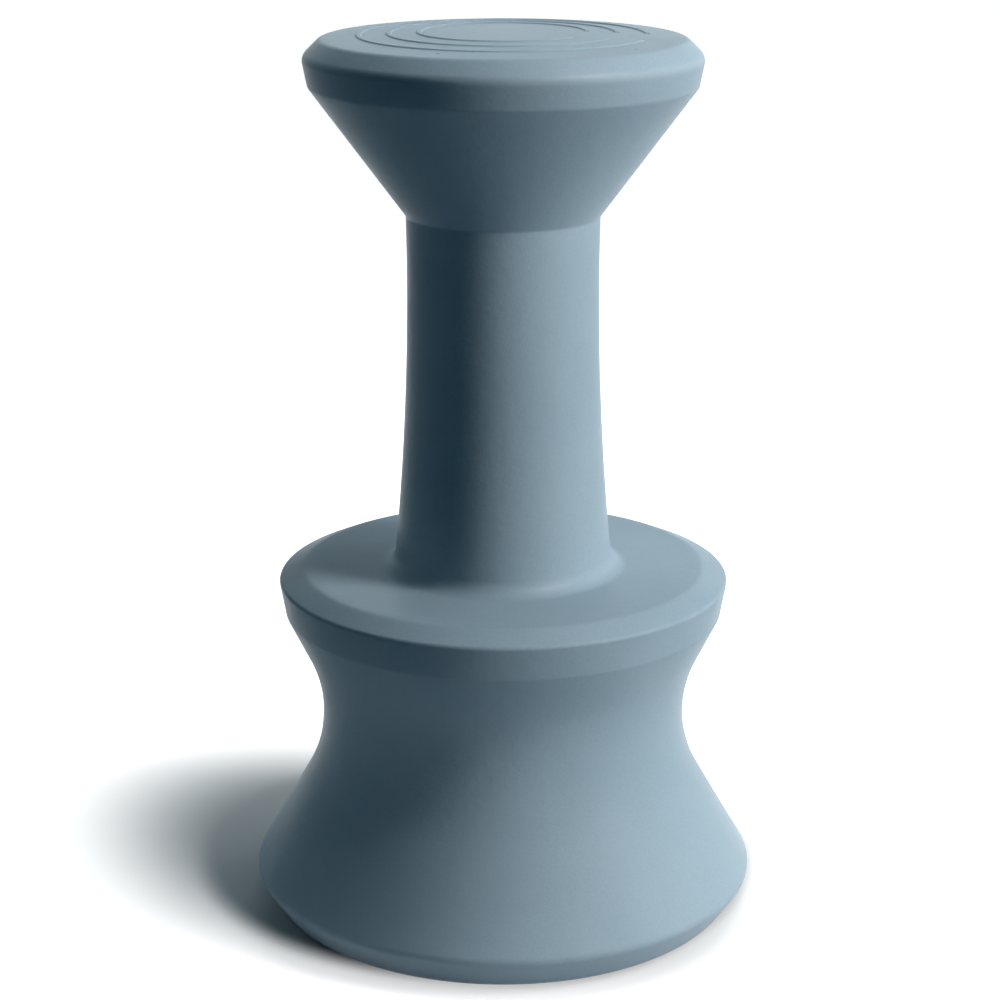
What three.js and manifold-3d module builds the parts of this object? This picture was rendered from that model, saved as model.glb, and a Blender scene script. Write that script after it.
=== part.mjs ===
// Pool bar stool: one hollow moulded shell with a crowned seat, a slim column, a foot ledge and a round
// base. Two screwed plugs close the space for ballast water, and six rubber pads carry the stool.
// Millimetres, +Z up, with the origin on the floor under the middle of the stool.

import * as THREE from 'three';
import { mergeVertices, toCreasedNormals } from 'three/addons/utils/BufferGeometryUtils.js';
import Module from 'manifold-3d';

const wasm = await Module();
wasm.setup();

// Sizes shared by the whole stool
const seatHeight = 762;
const wall = 6;
const fitGap = 0.3;
const cutOverrun = 3;

// Seat: crown, bevel, rim band and the cone under it
const seatCrown = 5.4;
const seatEdgeRadius = 150.5;
const seatEdgeRounding = 8;
const rimRadius = 165;
const rimBevelDrop = 14.2;
const rimRounding = 10;
const rimBandHeight = 23.8;
const rimBandTaper = 4.6;
const rimBandRounding = 9;
const coneHeight = 107.6;

// Three raised rings on the seat
const ringCount = 3;
const outerRingRadius = 118;
const ringPitch = 24.65;
const ringBaseWidth = 5.6;
const ringTopWidth = 3.2;
const ringHeight = 1.1;

// Column: slimmest a little below the cone, wider towards the ledge
const columnWaistRadius = 80.4;
const columnWaistDrop = 50;
const columnFootRadius = 93.8;
const columnFillet = 14.5;

// Foot ledge
const ledgeHeight = 307.5;
const ledgeEdgeRadius = 171.7;
const ledgeEdgeRounding = 6;
const ledgeRimRadius = 193.1;
const ledgeBevelDrop = 9.3;
const ledgeRimRounding = 3.5;
const ledgeBandHeight = 29.2;
const ledgeBandTaper = 5.1;
const ledgeBandRounding = 12;

// Base: the waist and the belly are the corners that the slopes would meet in without their rounding
const waistRadius = 140.6;
const waistHeight = 172.1;
const waistRounding = 127;
const bellyRadius = 219.1;
const bellyHeight = 35;
const bellyRounding = 8;
const footTuck = 21.6;
const footRounding = 24;

// Underside: a foot ring round a raised panel
const padProud = 2;
const footRingWidth = 57.5;
const footRingInnerRounding = 6;
const recessDepth = 30;
const recessSlope = 12;
const panelRounding = 8;

// Filling port in the middle of the panel, and the air vent beside it
const fillThreadRadius = 24;
const fillThreadDepth = 1.8;
const fillThreadPitch = 4;
const fillHollowWall = 4;
const gripBarWidth = 9;
const gripBarHeight = 8;
const gripBarReachShare = 0.8;
const ventInset = 43;
const ventThreadRadius = 8;
const ventThreadDepth = 1.3;
const ventThreadPitch = 3;
const ventHexWidth = 16;
const ventHexHeight = 6;
const threadTurns = 3;
const threadGap = 0.35;
const threadRootShare = 0.55;
const threadCrestShare = 0.25;
const insertWall = 6;
const anchorReach = 4;
const anchorThickness = 3;
const portBossWall = 5;
const gasketThickness = 2.5;
const gasketBoreGap = 0.5;
const flangeThickness = 5;
const flangeReach = 1;
const edgeChamfer = 0.8;

// Feet: a pad, a screw and a closed threaded insert at each place
const footCount = 6;
const padInset = 33.5;
const padRadius = 16;
const padThickness = 6;
const padChamfer = 1.2;
const padSeatWall = 5;
const counterboreDepth = 3.2;
const counterboreGap = 1;
const screwRadius = 2.7;
const screwLength = 16;
const screwTip = 1;
const screwHeadRadius = 5.4;
const screwHeadHeight = 2.4;
const screwKeyWidth = 4;
const screwKeyDepth = 1.6;
const insertRadius = 6.2;
const insertNeckRadius = 4.6;
const insertHeight = 15;
const insertCollarHeight = 5;
const insertTopThickness = 2;
const insertBossWall = 5;

// How finely round shapes are cut into faces
const outerSegments = 44;
const innerSegments = 24;
const fillSegments = 24;
const ventSegments = 16;
const screwSegments = 12;
const padSegments = 16;
const columnSteps = 6;
const outerChordError = 0.35;
const innerChordError = 1;
const weldTolerance = 1e-4;
const creaseAngle = 0.5;

// Radii and heights that follow from the sizes
const footRadius = bellyRadius - footTuck;
const footRingInnerRadius = footRadius - footRingWidth;
const panelRadius = footRingInnerRadius - recessSlope;
const ventOffset = panelRadius - ventInset;
const footCircleRadius = footRadius - padInset;
const seatEdgeHeight = seatHeight - seatCrown;
const rimHeight = seatEdgeHeight - rimBevelDrop;
const rimFootHeight = rimHeight - rimBandHeight;
const coneFootHeight = rimFootHeight - coneHeight;
const columnWaistHeight = coneFootHeight - columnWaistDrop;
const ledgeRimHeight = ledgeHeight - ledgeBevelDrop;
const panelHeight = padProud + recessDepth;
const padSeatHeight = padThickness + fitGap;
const fullTurn = 2 * Math.PI;

// Materials
function material(color, roughness, metalness = 0) {
  return new THREE.MeshStandardMaterial({ color, roughness, metalness });
}

const looks = {
  shell: () => material(0x96acb8, 0.55),
  portInsert: () => material(0xb4b8ba, 0.5),
  plug: () => material(0x3c444a, 0.5),
  rubber: () => material(0x202224, 0.85),
  brass: () => material(0xb08d4a, 0.35, 1),
  steel: () => material(0xb9bcc0, 0.3, 1),
};

// From geometry to solids and back
function signedVolume(points, faces) {
  const [a, b, c] = [new THREE.Vector3(), new THREE.Vector3(), new THREE.Vector3()];
  let sum = 0;
  for (let i = 0; i < faces.length; i += 3) {
    a.fromArray(points, 3 * faces[i]);
    b.fromArray(points, 3 * faces[i + 1]);
    c.fromArray(points, 3 * faces[i + 2]);
    sum += a.dot(b.cross(c)) / 6;
  }
  return sum;
}

function solid(geometry) {
  const bare = new THREE.BufferGeometry();
  bare.setAttribute('position', geometry.getAttribute('position'));
  bare.setIndex(geometry.getIndex());
  const merged = mergeVertices(bare, weldTolerance);
  const index = merged.getIndex().array;
  const faces = [];
  for (let i = 0; i < index.length; i += 3) {
    const [a, b, c] = [index[i], index[i + 1], index[i + 2]];
    if (a !== b && b !== c && c !== a) faces.push(a, b, c);
  }
  const vertProperties = new Float32Array(merged.getAttribute('position').array);
  if (signedVolume(vertProperties, faces) < 0) faces.reverse();
  return new wasm.Manifold(new wasm.Mesh({ numProp: 3, vertProperties, triVerts: new Uint32Array(faces) }));
}

function geometryOf(body) {
  const { vertProperties, triVerts } = body.getMesh();
  const geometry = new THREE.BufferGeometry();
  geometry.setAttribute('position', new THREE.BufferAttribute(new Float32Array(vertProperties), 3));
  geometry.setIndex(new THREE.BufferAttribute(new Uint32Array(triVerts), 1));
  return toCreasedNormals(geometry, creaseAngle);
}

function turned(points, segments) {
  const outline = points.map(([radius, height]) => new THREE.Vector2(radius, height));
  return solid(new THREE.LatheGeometry(outline, segments).rotateX(Math.PI / 2));
}

function cylinder(radius, low, high, segments) {
  return turned([[0, low], [radius, low], [radius, high], [0, high]], segments);
}

function hexPrism(acrossFlats, low, high) {
  return cylinder(acrossFlats / Math.sqrt(3), low, high, 6);
}

function union(bodies) {
  return bodies.reduce((sum, body) => sum.add(body));
}

// Outlines: corners with a rounding each, listed from the axis outwards and up to the axis again
function corner(radius, height, rounding = 0) {
  return { point: new THREE.Vector2(radius, height), rounding };
}

function crownHeight(radius) {
  return seatHeight - seatCrown * (radius / seatEdgeRadius) ** 2;
}

function columnRadius(height) {
  const share = (height - columnWaistHeight) / (columnWaistHeight - ledgeHeight);
  return columnWaistRadius + (columnFootRadius - columnWaistRadius) * share ** 2;
}

function undersideCorners() {
  return [
    corner(0, panelHeight),
    corner(panelRadius, panelHeight, panelRounding),
    corner(footRingInnerRadius, padProud, footRingInnerRounding),
    corner(footRadius, padProud, footRounding),
  ];
}

function baseCorners() {
  return [
    corner(bellyRadius, bellyHeight, bellyRounding),
    corner(waistRadius, waistHeight, waistRounding),
    corner(ledgeRimRadius - ledgeBandTaper, ledgeRimHeight - ledgeBandHeight, ledgeBandRounding),
    corner(ledgeRimRadius, ledgeRimHeight, ledgeRimRounding),
    corner(ledgeEdgeRadius, ledgeHeight, ledgeEdgeRounding),
  ];
}

function columnCorners() {
  const corners = [corner(columnFootRadius, ledgeHeight, columnFillet)];
  const start = ledgeHeight + 2 * columnFillet;
  for (let i = 0; i <= columnSteps; i++) {
    const height = start + (coneFootHeight - start) * i / columnSteps;
    corners.push(corner(columnRadius(height), height));
  }
  return corners;
}

function rimCorners() {
  return [
    corner(rimRadius - rimBandTaper, rimFootHeight, rimBandRounding),
    corner(rimRadius, rimHeight, rimRounding),
    corner(seatEdgeRadius, seatEdgeHeight, seatEdgeRounding),
  ];
}

function ringCorners() {
  const corners = [];
  for (let i = 0; i < ringCount; i++) {
    const middle = outerRingRadius - ringPitch * i;
    for (const [offset, rise] of [
      [ringBaseWidth / 2, 0],
      [ringTopWidth / 2, ringHeight],
      [-ringTopWidth / 2, ringHeight],
      [-ringBaseWidth / 2, 0],
    ]) {
      corners.push(corner(middle + offset, crownHeight(middle + offset) + rise));
    }
  }
  return corners;
}

function outerCorners(seatTop) {
  const rest = [undersideCorners(), baseCorners(), columnCorners(), rimCorners(), seatTop];
  return [...rest.flat(), corner(0, seatHeight)];
}

function leftNormal(from, to) {
  const along = to.clone().sub(from).normalize();
  return new THREE.Vector2(-along.y, along.x);
}

// The wall's inner face: each corner moves in by the wall, square to both of the sides that meet there
function insetCorners(corners, distance) {
  const points = corners.map(({ point }) => point);
  return corners.map(({ point, rounding }, i) => {
    const after = i + 1 < points.length ? leftNormal(point, points[i + 1]) : null;
    const before = i > 0 ? leftNormal(points[i - 1], point) : null;
    const [n, m] = [before ?? after, after ?? before];
    const mirrored = before && after ? m : new THREE.Vector2(-n.x, n.y);
    const shift = n.clone().add(mirrored).multiplyScalar(distance / (1 + n.dot(mirrored)));
    const outward = n.x * mirrored.y - n.y * mirrored.x > 0;
    const inside = outward ? rounding - distance : rounding + distance;
    const moved = point.clone().add(shift);
    return corner(moved.x, moved.y, rounding > 0 ? Math.max(0, inside) : 0);
  });
}

function cornerFacts(corners) {
  return corners.map(({ point, rounding }, i) => {
    if (i === 0 || i === corners.length - 1) return { turn: 0, tangent: 0 };
    const arrive = point.clone().sub(corners[i - 1].point);
    const leave = corners[i + 1].point.clone().sub(point);
    const turn = Math.atan2(arrive.cross(leave), arrive.dot(leave));
    return { turn, tangent: rounding * Math.tan(Math.abs(turn) / 2) };
  });
}

// Two roundings that would meet on one side shrink alike until they share it
function fitTangents(corners, facts) {
  const shares = facts.map(() => 1);
  for (let i = 0; i + 1 < corners.length; i++) {
    const side = corners[i].point.distanceTo(corners[i + 1].point);
    const wanted = facts[i].tangent + facts[i + 1].tangent;
    const share = wanted > side ? side / wanted : 1;
    shares[i] = Math.min(shares[i], share);
    shares[i + 1] = Math.min(shares[i + 1], share);
  }
  return facts.map(({ tangent }, i) => tangent * shares[i]);
}

function roundedOutline(corners, chordError) {
  const facts = cornerFacts(corners);
  const tangents = fitTangents(corners, facts);
  const outline = [];
  corners.forEach(({ point }, i) => {
    const tangent = tangents[i];
    if (tangent === 0) {
      outline.push([point.x, point.y]);
      return;
    }
    const { turn } = facts[i];
    const arrive = point.clone().sub(corners[i - 1].point).normalize();
    const radius = tangent / Math.tan(Math.abs(turn) / 2);
    const start = point.clone().addScaledVector(arrive, -tangent);
    const side = Math.sign(turn);
    const centre = start.clone().add(new THREE.Vector2(-arrive.y, arrive.x).multiplyScalar(radius * side));
    const stepAngle = 2 * Math.acos(Math.max(0, 1 - chordError / radius));
    const steps = Math.max(1, Math.ceil(Math.abs(turn) / stepAngle));
    for (let k = 0; k <= steps; k++) {
      const arm = start.clone().sub(centre).rotateAround(new THREE.Vector2(), turn * k / steps);
      outline.push([centre.x + arm.x, centre.y + arm.y]);
    }
  });
  return outline;
}

// Ports: heights are measured up from the panel's lower face
function port(name, x, threadRadius, threadDepth, pitch, segments) {
  const outerRadius = threadRadius + insertWall;
  return {
    name,
    x,
    threadRadius,
    coreRadius: threadRadius - threadDepth,
    pitch,
    segments,
    outerRadius,
    height: (threadTurns + 1) * pitch,
    gasketTop: -fitGap,
    flangeTop: -2 * fitGap - gasketThickness,
    flangeRadius: outerRadius + flangeReach,
  };
}

const fillPort = port('fill', 0, fillThreadRadius, fillThreadDepth, fillThreadPitch, fillSegments);
const ventPort = port('vent', ventOffset, ventThreadRadius, ventThreadDepth, ventThreadPitch, ventSegments);
const ports = [fillPort, ventPort];

function atPort({ x }, body) {
  return body.translate([x, 0, panelHeight]);
}

// The outside of a port's insert, with a collar that anchors it, grown for the cavity that holds it
function insertOutside({ outerRadius, height, segments }, grow) {
  const collarLow = (height - anchorThickness) / 2 - grow;
  const collarHigh = (height + anchorThickness) / 2 + grow;
  const body = outerRadius + grow;
  const collar = outerRadius + anchorReach + grow;
  const low = grow > 0 ? -recessDepth : 0;
  const high = grow > 0 ? height + recessDepth : height;
  return turned([
    [0, low],
    [body, low],
    [body, collarLow],
    [collar, collarLow],
    [collar, collarHigh],
    [body, collarHigh],
    [body, high],
    [0, high],
  ], segments);
}

function portBoss({ outerRadius, height, segments }) {
  const radius = outerRadius + anchorReach + fitGap + portBossWall;
  return cylinder(radius, wall / 2, (height + anchorThickness) / 2 + portBossWall, segments);
}

// A ridge that climbs round the axis: four points a step, closed at both ends
function threadRidge({ inner, outer, innerWidth, outerWidth, pitch, turns, start, segments }) {
  const steps = Math.round(turns * segments);
  const section = [
    [inner, -innerWidth / 2],
    [outer, -outerWidth / 2],
    [outer, outerWidth / 2],
    [inner, innerWidth / 2],
  ];
  const points = [];
  const faces = [0, 1, 2, 0, 2, 3];
  for (let i = 0; i <= steps; i++) {
    const angle = fullTurn * i / segments;
    const middle = start + pitch * i / segments;
    for (const [radius, offset] of section) {
      points.push(radius * Math.cos(angle), radius * Math.sin(angle), middle + offset);
    }
  }
  for (let i = 0; i < steps; i++) {
    for (let k = 0; k < 4; k++) {
      const [a, b] = [4 * i + k, 4 * i + (k + 1) % 4];
      faces.push(a, a + 4, b, b, a + 4, b + 4);
    }
  }
  const last = 4 * steps;
  faces.push(last, last + 2, last + 1, last, last + 3, last + 2);
  const geometry = new THREE.BufferGeometry();
  geometry.setAttribute('position', new THREE.Float32BufferAttribute(points, 3));
  geometry.setIndex(faces);
  return solid(geometry);
}

function outsideThread({ coreRadius, threadRadius, pitch, segments }) {
  return threadRidge({
    inner: coreRadius - fitGap,
    outer: threadRadius,
    innerWidth: threadRootShare * pitch,
    outerWidth: threadCrestShare * pitch,
    pitch,
    turns: threadTurns - 0.5,
    start: pitch,
    segments,
  });
}

function insideThread({ coreRadius, threadRadius, pitch, segments }) {
  return threadRidge({
    inner: coreRadius + threadGap,
    outer: threadRadius + threadGap + fitGap,
    innerWidth: (1 - threadRootShare) * pitch - 2 * threadGap,
    outerWidth: (1 - threadCrestShare) * pitch - 2 * threadGap,
    pitch,
    turns: threadTurns,
    start: pitch / 2,
    segments,
  });
}

function portInsert(place) {
  const { threadRadius, height, segments } = place;
  const bore = cylinder(threadRadius + threadGap, -cutOverrun, height + cutOverrun, segments);
  return insertOutside(place, 0).subtract(bore).add(insideThread(place));
}

function portGasket({ threadRadius, outerRadius, gasketTop, segments }) {
  const bore = threadRadius + gasketBoreGap;
  const low = gasketTop - gasketThickness;
  return turned([
    [bore, low],
    [outerRadius, low],
    [outerRadius, gasketTop],
    [bore, gasketTop],
    [bore, low],
  ], segments);
}

function plugBlank(place) {
  const { coreRadius, flangeRadius, flangeTop, height, segments } = place;
  const low = flangeTop - flangeThickness;
  const top = height - fitGap;
  const blank = turned([
    [0, low],
    [flangeRadius - edgeChamfer, low],
    [flangeRadius, low + edgeChamfer],
    [flangeRadius, flangeTop],
    [coreRadius, flangeTop],
    [coreRadius, top - edgeChamfer],
    [coreRadius - edgeChamfer, top],
    [0, top],
  ], segments);
  return blank.add(outsideThread(place));
}

// The filling plug is hollow from inside, and a raised bar across its face turns it
function fillPlug(place) {
  const { coreRadius, flangeRadius, flangeTop, height, segments } = place;
  const face = flangeTop - flangeThickness;
  const hollow = cylinder(coreRadius - fillHollowWall, flangeTop, height + cutOverrun, segments);
  const length = 2 * gripBarReachShare * flangeRadius;
  const sunk = flangeThickness / 2;
  const bar = solid(new THREE.BoxGeometry(length, gripBarWidth, gripBarHeight + sunk));
  return plugBlank(place).add(bar.translate([0, 0, face + (sunk - gripBarHeight) / 2])).subtract(hollow);
}

// A raised six-sided head turns the vent plug
function ventPlug(place) {
  const face = place.flangeTop - flangeThickness;
  return plugBlank(place).add(hexPrism(ventHexWidth, face - ventHexHeight, face + flangeThickness / 2));
}

// Feet: each piece is made on the Z axis and moved to its place on the foot ring
function footPad() {
  const bore = screwRadius + fitGap;
  const counterbore = screwHeadRadius + counterboreGap;
  return turned([
    [counterbore, 0],
    [padRadius - padChamfer, 0],
    [padRadius, padChamfer],
    [padRadius, padThickness],
    [bore, padThickness],
    [bore, counterboreDepth],
    [counterbore, counterboreDepth],
    [counterbore, 0],
  ], padSegments);
}

function footScrew() {
  const headTop = counterboreDepth - fitGap;
  const headLow = headTop - screwHeadHeight;
  const end = headTop + screwLength;
  const blank = turned([
    [0, headLow],
    [screwHeadRadius - edgeChamfer, headLow],
    [screwHeadRadius, headLow + edgeChamfer],
    [screwHeadRadius, headTop],
    [screwRadius, headTop],
    [screwRadius, end - screwTip],
    [screwRadius - screwTip, end],
    [0, end],
  ], screwSegments);
  return blank.subtract(hexPrism(screwKeyWidth, headLow - cutOverrun, headLow + screwKeyDepth));
}

const insertLow = padSeatHeight;
const insertTop = insertLow + insertHeight;

function insertBlank(grow) {
  const low = insertLow - (grow > 0 ? cutOverrun : 0);
  const foot = cylinder(insertRadius + grow, low, insertLow + insertCollarHeight + grow, 6);
  const neck = cylinder(insertNeckRadius + grow, low, insertTop, screwSegments);
  const head = cylinder(insertRadius + grow, insertTop - insertCollarHeight - grow, insertTop + grow, 6);
  return union([foot, neck, head]);
}

function footInsert() {
  const boreTop = insertTop - insertTopThickness;
  const bore = cylinder(screwRadius + fitGap, insertLow - cutOverrun, boreTop, screwSegments);
  return insertBlank(0).subtract(bore);
}

function footBoss() {
  const low = padProud + wall / 2;
  const seatRadius = padRadius + fitGap + padSeatWall;
  const postRadius = insertRadius + fitGap + insertBossWall;
  const seat = cylinder(seatRadius, low, padSeatHeight + padSeatWall, padSegments);
  return seat.add(cylinder(postRadius, low, insertTop + insertBossWall, padSegments));
}

function footCut() {
  return cylinder(padRadius + fitGap, -cutOverrun, padSeatHeight, padSegments).add(insertBlank(fitGap));
}

const footAngles = Array.from({ length: footCount }, (_, i) => fullTurn * (i + 0.5) / footCount);

function atFoot(angle, body) {
  return body.translate([footCircleRadius * Math.cos(angle), footCircleRadius * Math.sin(angle), 0]);
}

// Shell: the outside less the hollow, with bosses inside and cavities for what is moulded in
function stoolShell() {
  const plainTop = [corner(seatEdgeRadius / 2, crownHeight(seatEdgeRadius / 2))];
  const outside = turned(roundedOutline(outerCorners(ringCorners()), outerChordError), outerSegments);
  const hollow = roundedOutline(insetCorners(outerCorners(plainTop), wall), innerChordError);
  const bosses = union([
    ...ports.map((place) => atPort(place, portBoss(place))),
    ...footAngles.map((angle) => atFoot(angle, footBoss())),
  ]);
  const cuts = union([
    ...ports.map((place) => atPort(place, insertOutside(place, fitGap))),
    ...footAngles.map((angle) => atFoot(angle, footCut())),
  ]);
  return outside.subtract(turned(hollow, innerSegments)).add(bosses.intersect(outside)).subtract(cuts);
}

// The assembly
const group = new THREE.Group();

function addPiece(name, body, look) {
  const mesh = new THREE.Mesh(geometryOf(body), look());
  mesh.name = name;
  group.add(mesh);
}

addPiece('stool_shell', stoolShell(), looks.shell);
for (const place of ports) {
  const plug = place === fillPort ? fillPlug(place) : ventPlug(place);
  addPiece(`${place.name}_port_insert`, atPort(place, portInsert(place)), looks.portInsert);
  addPiece(`${place.name}_plug_gasket`, atPort(place, portGasket(place)), looks.rubber);
  addPiece(`${place.name}_plug`, atPort(place, plug), looks.plug);
}
footAngles.forEach((angle, i) => {
  addPiece(`foot_pad_${i + 1}`, atFoot(angle, footPad()), looks.rubber);
  addPiece(`foot_screw_${i + 1}`, atFoot(angle, footScrew()), looks.steel);
  addPiece(`foot_insert_${i + 1}`, atFoot(angle, footInsert()), looks.brass);
});

export default group;
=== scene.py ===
# A moulded pool bar stool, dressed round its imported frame: the fine shell with its rings, marks and
# parting line, the two screwed plugs with their inserts and gaskets, and the rubber feet.
# Metres, +Z up, origin on the floor.

import math
from collections import namedtuple

import bmesh
import bpy
from mathutils import Matrix, Vector


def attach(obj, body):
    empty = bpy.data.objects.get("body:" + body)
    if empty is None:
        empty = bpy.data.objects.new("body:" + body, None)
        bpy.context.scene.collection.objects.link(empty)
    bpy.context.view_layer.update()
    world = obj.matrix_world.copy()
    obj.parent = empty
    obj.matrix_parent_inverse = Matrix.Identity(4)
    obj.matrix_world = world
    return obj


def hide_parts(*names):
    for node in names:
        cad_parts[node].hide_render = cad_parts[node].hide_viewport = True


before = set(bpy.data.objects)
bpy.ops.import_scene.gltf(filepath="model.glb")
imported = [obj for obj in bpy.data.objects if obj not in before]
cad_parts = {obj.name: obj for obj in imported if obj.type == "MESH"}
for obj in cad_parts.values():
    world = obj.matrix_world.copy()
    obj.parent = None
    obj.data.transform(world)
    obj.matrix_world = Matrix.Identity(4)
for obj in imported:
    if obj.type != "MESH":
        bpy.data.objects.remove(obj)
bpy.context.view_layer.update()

MM = 0.001
FULL_TURN = 2 * math.pi

# Sizes shared by the whole stool
SEAT_HEIGHT = 762 * MM
WALL = 6 * MM
FIT_GAP = 0.3 * MM
CUT_OVERRUN = 3 * MM

# Seat: crown, bevel, rim band and the cone under it
SEAT_CROWN = 5.4 * MM
SEAT_EDGE_RADIUS = 150.5 * MM
SEAT_EDGE_ROUNDING = 8 * MM
RIM_RADIUS = 165 * MM
RIM_BEVEL_DROP = 14.2 * MM
RIM_ROUNDING = 10 * MM
RIM_BAND_HEIGHT = 23.8 * MM
RIM_BAND_TAPER = 4.6 * MM
RIM_BAND_ROUNDING = 9 * MM
CONE_HEIGHT = 107.6 * MM

# Three raised rings on the seat
RING_COUNT = 3
OUTER_RING_RADIUS = 118 * MM
RING_PITCH = 24.65 * MM
RING_BASE_WIDTH = 5.6 * MM
RING_TOP_WIDTH = 3.2 * MM
RING_HEIGHT = 1.1 * MM
RING_ROUNDING = 0.5 * MM

# A plain strip along X where the rings stop short: its middle, its half width, and a ring's sloping end
STRIP_MIDDLE = -18.5 * MM
STRIP_HALF = 22.5 * MM
RING_END_LENGTH = 3.5 * MM

# Two small marks that the mould leaves on the seat: radius and direction, in degrees from +X
MARKS = ((132.7 * MM, -112.6), (137 * MM, -41.2))
MARK_RADIUS = 2.2 * MM
MARK_DEPTH = 0.9 * MM
MARK_FALLOFF = 1.5
MARK_MARGIN = 1.5 * MARK_RADIUS

# Column, with its slimmest place a little below the cone
COLUMN_WAIST_RADIUS = 80.4 * MM
COLUMN_WAIST_DROP = 50 * MM
COLUMN_FOOT_RADIUS = 93.8 * MM
COLUMN_FILLET = 14.5 * MM
COLUMN_STEPS = 36
CONE_FOOT_ROUNDING = 5 * MM

# Foot ledge
LEDGE_HEIGHT = 307.5 * MM
LEDGE_EDGE_RADIUS = 171.7 * MM
LEDGE_EDGE_ROUNDING = 15 * MM
LEDGE_RIM_RADIUS = 193.1 * MM
LEDGE_BEVEL_DROP = 9.3 * MM
LEDGE_RIM_ROUNDING = 3.5 * MM
LEDGE_BAND_HEIGHT = 29.2 * MM
LEDGE_BAND_TAPER = 5.1 * MM
LEDGE_BAND_ROUNDING = 12 * MM

# Base: the waist and the belly are the corners that the slopes would meet in without their rounding
WAIST_RADIUS = 140.6 * MM
WAIST_HEIGHT = 172.1 * MM
WAIST_ROUNDING = 127 * MM
BELLY_RADIUS = 219.1 * MM
BELLY_HEIGHT = 35 * MM
BELLY_ROUNDING = 8 * MM
FOOT_TUCK = 21.6 * MM
FOOT_ROUNDING = 24 * MM

# Underside: a foot ring round a raised panel
PAD_PROUD = 2 * MM
FOOT_RING_WIDTH = 57.5 * MM
FOOT_RING_INNER_ROUNDING = 6 * MM
RECESS_DEPTH = 30 * MM
RECESS_SLOPE = 12 * MM
PANEL_ROUNDING = 8 * MM

# Parting line where the two halves of the mould meet, a little off the X axis, and its columns of vertices
SEAM_ANGLE = math.radians(2.5)
SEAM_RISE = 0.18 * MM
SEAM_WIDTH = 0.5 * MM
SEAM_OFFSETS = tuple(share * MM for share in (-1.3, -0.9, -0.6, -0.3, 0, 0.3, 0.6, 0.9, 1.3))
SEAM_LEAST_RADIUS = 78 * MM

# Filling port in the middle of the panel, and the air vent beside it
FILL_THREAD_RADIUS = 24 * MM
FILL_THREAD_DEPTH = 1.8 * MM
FILL_THREAD_PITCH = 4 * MM
FILL_HOLLOW_WALL = 4 * MM
GRIP_BAR_WIDTH = 9 * MM
GRIP_BAR_HEIGHT = 8 * MM
GRIP_BAR_REACH_SHARE = 0.8
GRIP_BAR_ROUNDING = 2 * MM
GRIP_BAR_STEPS = 5
VENT_INSET = 43 * MM
VENT_THREAD_RADIUS = 8 * MM
VENT_THREAD_DEPTH = 1.3 * MM
VENT_THREAD_PITCH = 3 * MM
VENT_HEX_WIDTH = 16 * MM
VENT_HEX_HEIGHT = 6 * MM
THREAD_TURNS = 3
PLUG_THREAD_TURNS = 2.5
THREAD_GAP = 0.35 * MM
THREAD_ROOT_SHARE = 0.55
THREAD_CREST_SHARE = 0.25
THREAD_LEAD_SHARE = 0.25
INSERT_WALL = 6 * MM
ANCHOR_REACH = 4 * MM
ANCHOR_THICKNESS = 3 * MM
PORT_BOSS_WALL = 5 * MM
GASKET_THICKNESS = 2.5 * MM
GASKET_BORE_GAP = 0.5 * MM
GASKET_ROUNDING = 0.6 * MM
FLANGE_THICKNESS = 5 * MM
FLANGE_REACH = 1 * MM
EDGE_ROUNDING = 0.8 * MM
GRIP_NOTCHES = 36
GRIP_NOTCH_RADIUS = 0.8 * MM

# Feet: a pad, a screw and a closed threaded insert at each place
FOOT_COUNT = 6
PAD_INSET = 33.5 * MM
PAD_RADIUS = 16 * MM
PAD_THICKNESS = 6 * MM
PAD_ROUNDING = 1.2 * MM
PAD_SEAT_WALL = 5 * MM
PAD_GROOVE_RADII = (9.6 * MM, 12.4 * MM)
PAD_GROOVE_WIDTH = 1 * MM
PAD_GROOVE_DEPTH = 0.7 * MM
COUNTERBORE_DEPTH = 3.2 * MM
COUNTERBORE_GAP = 1 * MM
SCREW_RADIUS = 2.7 * MM
SCREW_LENGTH = 16 * MM
SCREW_TIP = 1 * MM
SCREW_PITCH = 1 * MM
SCREW_THREAD_DEPTH = 0.5 * MM
SCREW_HEAD_RADIUS = 5.4 * MM
SCREW_HEAD_HEIGHT = 2.4 * MM
SCREW_KEY_WIDTH = 4 * MM
SCREW_KEY_DEPTH = 1.6 * MM
INSERT_RADIUS = 6.2 * MM
INSERT_NECK_RADIUS = 4.6 * MM
INSERT_HEIGHT = 15 * MM
INSERT_COLLAR_HEIGHT = 5 * MM
INSERT_TOP_THICKNESS = 2 * MM
INSERT_CHAMFER = 0.5 * MM
INSERT_BOSS_WALL = 5 * MM

# How finely round shapes are cut into faces
SHELL_SEGMENTS = 288
HOLLOW_SEGMENTS = 96
FILL_SEGMENTS = 96
VENT_SEGMENTS = 64
SMALL_SEGMENTS = 48
NOTCH_SEGMENTS = 12
HEX_SIDES = 6
HEX_EDGE_STEPS = 3
ARC_STEP = math.radians(6)
CHORD_ERROR = 0.02 * MM
LONGEST_STEP = 9 * MM
CROWN_STEP = 4 * MM
MARK_STEP = 0.5 * MM
SHARP_ANGLE = math.radians(32)
EVEN = 1e-9

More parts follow.
